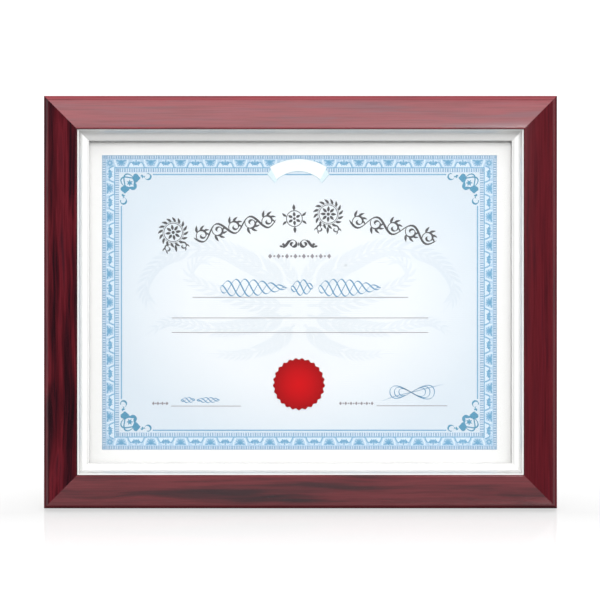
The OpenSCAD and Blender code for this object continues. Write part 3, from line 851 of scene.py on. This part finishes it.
heading = placed(wreath(), (-79.8, 44.2), 10, 1.06) + placed(wreath(), (18.2, 55.8), -2, 1.06)
heading += running_scroll(-66.5, -14.5) + running_scroll(31.0, 86.5)
sprig = rosette(4.4, 6, 1.7) + [ring(5.0, 0.5, 40)]
sprig += [leaf((0, 5.2), 90, 4.0, 1.8), leaf((0, -5.2), 270, 4.0, 1.8)]
sprig += both_ways([leaf((4.9, 1.6), 24, 3.4, 1.4, 0.3), leaf((4.9, -1.6), -24, 3.4, 1.4, -0.3)])
heading += on_arch(placed(sprig, (0, 4.8)), -3.0)
lay_ink("heading_scroll", heading, ink["soft_black"], TEXT_PLY)

# %% [markdown]
# ## Small ornaments and rules
# Below the heading stand two small scrolls back to back and a row of lozenges. Thin grey rules
# wait for the holder's name, the award, the date and the signature. Rows of small lozenges
# mark what each rule is for.

# %% Scrolls, lozenges and rules
scroll = both_ways([
    pen(round_path((3.5, 36.9), (2.7, 0.6), (75, 480)), 1.9, 0.5),
    pen(smooth([(4.2, 39.5), (6.2, 38.4), (7.8, 36.3), (9.6, 35.1), (11.3, 35.7)]), 1.7, 0.5),
    disc((9.6, 36.7), 0.8), leaf((10.0, 35.2), 14, 2.2, 1.3)])
scroll += [lozenge((0, 36.8), 1.0, 3.0)]
lay_ink("centre_scroll", placed(scroll, (-0.6, 0)), ink["soft_black"], TEXT_PLY)


def lozenge_row(left, right, level, height):
    """A row of lozenges with dots between them."""
    count = 2 * round((right - left) / (height * 1.7)) + 1
    row = []
    for i in range(count):
        x = left + (i + 0.5) * (right - left) / count
        row += [disc((x, level), height * 0.2)] if i % 2 else [
            lozenge((x, level), height * 0.8, height)]
    return row


captions = lozenge_row(-19.9, 20.1, 29.2, 3.2) + lozenge_row(-93, -83, -63.8, 2.3)
captions += lozenge_row(25.1, 46.7, -63.8, 2.3)
lay_ink("caption_lozenges", captions, ink["grey"], TEXT_PLY)
RULES = ((-67.5, 68.7, 3.2), (-80.5, 81.3, -9.8), (-80.5, 81.3, -19.0), (-81.1, -37.0, -65.5),
         (48.6, 93.4, -65.3))
lay_ink("ruled_lines", [bar(left, right, level, 0.42) for left, right, level in RULES],
        ink["grey"], TEXT_PLY)

# %% [markdown]
# ## Pen flourishes
# The name, the date and the signature are places that a pen would fill. A calligrapher's
# practice strokes fill them instead: knots, each one line that loops across itself, and braids
# of waves that swell towards their middle and close at both ends.

# %% Knots and braids
def braid(left, right, level, height, waves, thick, strands=3, early=1.0):
    """Waves that follow each other; they swell towards the middle, or earlier below 1."""
    strips = []
    steps = waves * 16
    for strand in range(strands):
        path = []
        for i in range(steps + 1):
            t = i / steps
            swell = max(sin(pi * t ** early), 0.0) ** 0.7
            wave = sin(pi * waves * t + 2 * pi * strand / strands)
            path.append((left + (right - left) * t, level + height / 2 * swell * wave))
        strips.append(pen(path, thick, 0.2, fade=0.04))
    return strips


def knot(centre, reach, height, turns, thick):
    """One line that loops across itself on both sides, smaller with each turn."""
    path = []
    for i in range(turns * 48 + 1):
        a = 2 * pi * i / 48
        size = 1 - 0.55 * i / (turns * 48)
        path.append((centre[0] + reach * size * sin(a), centre[1] + height * size * sin(2 * a)))
    return pen(path, thick, 0.22, fade=0.03)


flourish = braid(-50.0, -8.0, 9.2, 11.0, 5, 0.85, early=0.6)
flourish += braid(-5.5, 8.5, 9.4, 10.0, 2, 0.85) + braid(12.0, 51.5, 9.2, 11.0, 5, 0.85, early=0.6)
flourish += braid(-75.0, -66.0, -61.7, 3.4, 2, 0.6) + braid(-65.0, -50.4, -61.7, 3.4, 3, 0.6)
flourish += [knot((70.5, -56.8), 15.5, 4.6, 3, 0.6),
             pen(smooth([(52.4, -62.2), (60.0, -59.4), (70.5, -56.8), (81.0, -54.2),
                         (91.0, -51.6)]), 0.5, 0.25)]
lay_ink("pen_flourishes", flourish, ink["pen_blue"], TEXT_PLY)

# %% [markdown]
# ## Watermark
# A pale spray of acanthus plumes fills the middle of the sheet, mirrored left to right. A
# plume is a curved stem with leaves that grow from both of its sides and get smaller towards
# the tip. It's printed in a tint that is only a shade below the paper's.

# %% Acanthus plumes
def plume(stem, leaves, length):
    """A curved stem through some points, with leaves along it."""
    path = smooth(stem, 12)
    strips = [stroke(path, [1.6 - 1.2 * i / len(path) for i in range(len(path))])]
    for i in range(leaves):
        at = int((0.08 + 0.86 * i / leaves) * (len(path) - 2))
        way = path[at + 1] - path[at]
        heading = atan2(way.y, way.x) * 180 / pi
        size = length * (1.0 - 0.55 * i / leaves)
        for side in (1, -1):
            strips.append(leaf(path[at], heading + side * 44, size, 0.22 * size, -side * 0.28))
    return strips


spray = plume([(4, 6), (26, 22), (54, 34), (84, 28), (98, 10), (91, -7)], 24, 15.0)
spray += plume([(5, -2), (26, -1), (50, 6), (68, 15), (64, 26), (50, 25)], 17, 12.0)
spray += plume([(5, -8), (28, -14), (54, -17), (80, -12), (97, -20)], 19, 12.5)
spray += plume([(3, -14), (16, -26), (36, -33), (60, -32)], 14, 11.0)
spray += plume([(2, 10), (9, 24), (22, 34)], 8, 8.0)
MARK_DEPTH = "#f6f8fa"  # the paper's tint is multiplied by this, a shade darker
made, tree, place = new_material("ink_watermark")
shade = mixed(tree, 1.0, printed_tint(tree, place)[0], linear(MARK_DEPTH), "MULTIPLY")
lay_ink("watermark", both_ways(spray), finish(made, Base_Color=shade, Roughness=0.6, IOR=1.45),
        0.006)

# %% [markdown]
# ## Boards at the back
# The backing board and the easel leg are hardboard under black embossed paper. The paper
# covers the faces, and the sawn edges show the brown fibre. The largest face of a node tells
# which way its board faces. The filler card is raw grey card, made from waste paper, so it's
# flecked.

# %% Board and card
def black_embossed_paper(name, board):
    """Black embossed paper on the faces of a board, brown fibre on its edges."""
    made, tree, place = new_material(name)
    largest = max(frame["nodes"][board].data.polygons, key=lambda face: face.area)
    pebble = cells(tree, place, 0.9)
    fibre = noise(tree, place, (1.2, 0.3, 1.2), 4.0)
    flat = maths(tree, "ABSOLUTE", facing(tree, largest.normal))
    is_edge = maths(tree, "LESS_THAN", flat, 0.7)
    black = ramp(tree, pebble, (0.1, "#232323"), (0.8, "#2e2e2f"))
    brown = ramp(tree, fibre, (0.3, "#4d3826"), (0.7, "#6d5238"))
    finish(made, Base_Color=mixed(tree, is_edge, black, brown), Roughness=0.5, IOR=1.47,
           Normal=bumped(tree, pebble, 0.35, 0.12))
    wear(made, board)


black_embossed_paper("black_paper_on_backing", "backing_board")
black_embossed_paper("black_paper_on_leg", "easel_leg")


def raw_grey_card():
    """Grey card with dark and light flecks about a millimetre long."""
    made, tree, place = new_material("raw_grey_card")
    flecks = noise(tree, place, (1.0, 0.4, 0.6), 5.0, 0.7)
    colour = ramp(tree, flecks, (0.25, "#8a857b"), (0.5, "#a19c90"), (0.75, "#b5b0a5"))
    return finish(made, Base_Color=colour, Roughness=0.85, IOR=1.45)


wear(raw_grey_card(), "filler_card")

# %% [markdown]
# ## Plated steel
# The hinge, its pin and rivets, the turn buttons, their screws and the corner nails are
# stamped from sheet steel and plated with bright zinc, which is bluish and spangled. The
# sawtooth hanger and its nails are plated with brass. Both are metals, so their colour is the
# colour of their reflection.

# %% Zinc and brass
def plated_steel(name, dark, light, spangle, low, high):
    """Plated sheet steel with a spangle of a size in mm, its roughness from low to high."""
    made, tree, place = new_material(name)
    grain = ramp(tree, cells(tree, place, spangle), (0.1, dark), (0.9, light))
    rolled = noise(tree, place, (8.0, 0.25, 0.25), 3.0)
    rough = mapped(tree, rolled, (0.0, 1.0), (low, high))
    return finish(made, Base_Color=grain, Metallic=1.0, Roughness=rough,
                  Normal=bumped(tree, rolled, 0.12, 0.02))


zinc = plated_steel("bright_zinc_plate", "#c3c8cf", "#d9dde2", 1.6, 0.24, 0.38)
brass = plated_steel("bright_brass_plate", "#c9a45a", "#dcbc74", 2.5, 0.18, 0.30)
buttons = [name for name in frame["nodes"] if name.startswith("turn_button")]
wear(zinc, "corner_nails", "hinge_board_leaf", "hinge_leg_leaf", "hinge_pin", "board_rivets",
     "leg_rivets", *buttons)
wear(brass, "sawtooth_hanger", "hanger_nails")

# %% [markdown]
# ## Broken edges
# No real edge is perfectly sharp. A rub of sandpaper breaks the sawn wood, and the press
# rounds the sheet metal a little. A bevel of a tenth of a millimetre catches the light along
# such an edge, and at the mitres it leaves the hairline where two rails meet.

# %% Bevels
def break_edges(width, *nodes):
    """A small bevel on the sharp edges of some nodes; width is in mm."""
    print(f"edges broken by {width} mm: {', '.join(nodes)}")
    for name in nodes:
        bevel = frame["nodes"][name].modifiers.new("broken_edges", "BEVEL")
        bevel.width = width * MM
        bevel.segments = 2
        bevel.limit_method = "ANGLE"
        bevel.angle_limit = radians(50)
        bevel.harden_normals = True


break_edges(0.10, *LINERS)
break_edges(0.12, *RAILS, "backing_board", "easel_leg", "hinge_board_leaf", "hinge_leg_leaf",
            "sawtooth_hanger")

# %% [markdown]
# ## Floor
# The frame stands on a white table whose satin laminate mirrors the frame's foot. In a picture
# for a catalogue such a table is lit until it's pure white, which would also wash out the
# frame, so here it glows only for the rays that look at it and not for those that light.

# %% White table
GLOW = 0.61  # what the table adds for the rays that look, so that it reaches pure white
GLOW_AWAY = 0.82  # the same FADE mm away from the front, where this stronger glow washes the reflection out
FADE = 130.0


def seen_rays(tree):
    """1 for the rays that look: from the camera, in a reflection and through glass."""
    path = add(tree, "LightPath").node.outputs
    looks = maths(tree, "MAXIMUM", path["Is Camera Ray"], path["Is Glossy Ray"])
    return maths(tree, "MAXIMUM", looks, path["Is Transmission Ray"])


def white_laminate():
    """A white table top; to rays that look it glows, and more so away from the frame."""
    made, tree, place = new_material("white_satin_laminate")
    spot = add(tree, "TexCoord").node.outputs["Object"]
    depth = add(tree, "SeparateXYZ", {0: spot}).node.outputs["Y"]
    away = maths(tree, "ABSOLUTE", maths(tree, "SUBTRACT", depth, cad_box[0][1]))
    glow = mapped(tree, away, (0.0, FADE * MM), (GLOW, GLOW_AWAY))
    return finish(made, Base_Color=linear("#747474"), Roughness=0.05, IOR=1.45,
                  Normal=bumped(tree, noise(tree, place, 0.6), 0.05, 0.02),
                  Emission_Color=(1, 1, 1, 1),
                  Emission_Strength=maths(tree, "MULTIPLY", glow, seen_rays(tree)))


bpy.ops.mesh.primitive_plane_add(size=40)
table = bpy.context.object
table.name = "table_top"
table.data.materials.append(white_laminate())

# %% [markdown]
# ## Tent
# Shiny things are pictured in a white tent, because they show whatever stands round them. Ours
# is the world's background: white sides turn the silver white, a darker back keeps the outer
# edges of the wood dark, and a dark opening where the camera looks in leaves the side rails
# deep red and the glass clear.

# %% White tent
SIDES_LEVEL, BACK_LEVEL, OPENING_LEVEL = 2.9, 0.55, 0.04  # brightness, where 1 is white


def white_tent():
    """White sides, a darker back and a dark opening ahead; the camera itself sees only white."""
    world = bpy.context.scene.world or bpy.data.worlds.new("white_tent")
    bpy.context.scene.world = world
    world.use_nodes = True
    tree = world.node_tree
    tree.nodes.clear()
    way = add(tree, "TexCoord").node.outputs["Generated"]
    ahead = vectors(tree, "DOT_PRODUCT", way, (0, -cos(lean), sin(lean)))
    side = mapped(tree, ahead, (-0.45, -0.05), (BACK_LEVEL, SIDES_LEVEL))
    level = mapped(tree, ahead, (0.5, 0.77), (side, OPENING_LEVEL),
                   interpolation_type="SMOOTHSTEP")
    seen = add(tree, "LightPath").node.outputs["Is Camera Ray"]
    light = add(tree, "Background", {"Strength": maths(tree, "MAXIMUM", level, seen)})
    add(tree, "OutputWorld", {"Surface": light})


white_tent()

# %% [markdown]
# ## Lights
# A softbox overhead lays its sheen on the top rail, a key light at the upper right draws the
# short shadows, and a small fill light near the camera keeps them weak. A light's energy
# follows from its size and brightness, so a larger one is softer and not dimmer.

# %% Softboxes
def softbox(name, azimuth, elevation, distance, size, level):
    """An area light that aims at the frame; level is its brightness, where 1 is white."""
    a, e = radians(azimuth), radians(elevation)
    way = Vector((sin(a) * cos(e), -cos(a) * cos(e), sin(e)))
    data = bpy.data.lights.new(name, "AREA")
    data.shape = "RECTANGLE"
    data.size, data.size_y = size
    data.energy = level * pi * size[0] * size[1]
    lamp = set_out(name, data)
    lamp.location = leaned @ middle + way * distance
    lamp.rotation_euler = way.to_track_quat("Z", "Y").to_euler()
    print(f"{name}: {data.energy:.0f} W at {distance} m")


softbox("overhead_softbox", -10, 43, 1.6, (1.1, 0.75), 3.2)
softbox("key_light", 42, 35, 1.9, (0.9, 0.9), 2.8)
softbox("fill_light", 14, 26, 1.9, (0.4, 0.4), 23.0)

# %% [markdown]
# ## Camera
# The camera looks straight at the leaning frame, so it stands 12 degrees up. A long lens keeps
# the sides nearly parallel. Its distance follows from the frame's width in the picture.

# %% Camera
FRAME_SHARE = 512.9 / 600  # share of the picture's width that the frame fills
CENTRE_SHIFT = (0.5 / 600, 2.1 / 600)  # frame's middle right of and below the picture's
LENS, SENSOR = 600.0, 36.0  # mm
WIDEST = 9.2  # mm behind the front, where the outline is widest

picture = (outer_high.x - outer_low.x) / FRAME_SHARE  # mm of the frame's plane that shows
distance = LENS / SENSOR * picture
aim = Vector((middle.x - CENTRE_SHIFT[0] * picture, outer_low.y + WIDEST,
              middle.z + CENTRE_SHIFT[1] * picture))
camera_data = bpy.data.cameras.new("camera")
camera_data.lens = LENS
camera_data.sensor_width = SENSOR
camera_data.clip_end = 100
camera = set_out("camera", camera_data)
camera.location = leaned @ (aim - Vector((0, distance, 0)))
camera.rotation_euler = (pi / 2 - lean, 0, 0)
bpy.context.scene.camera = camera
bpy.context.scene.view_settings.view_transform = "Standard"
print(f"camera {distance:.0f} mm away, {picture:.0f} mm across the picture")
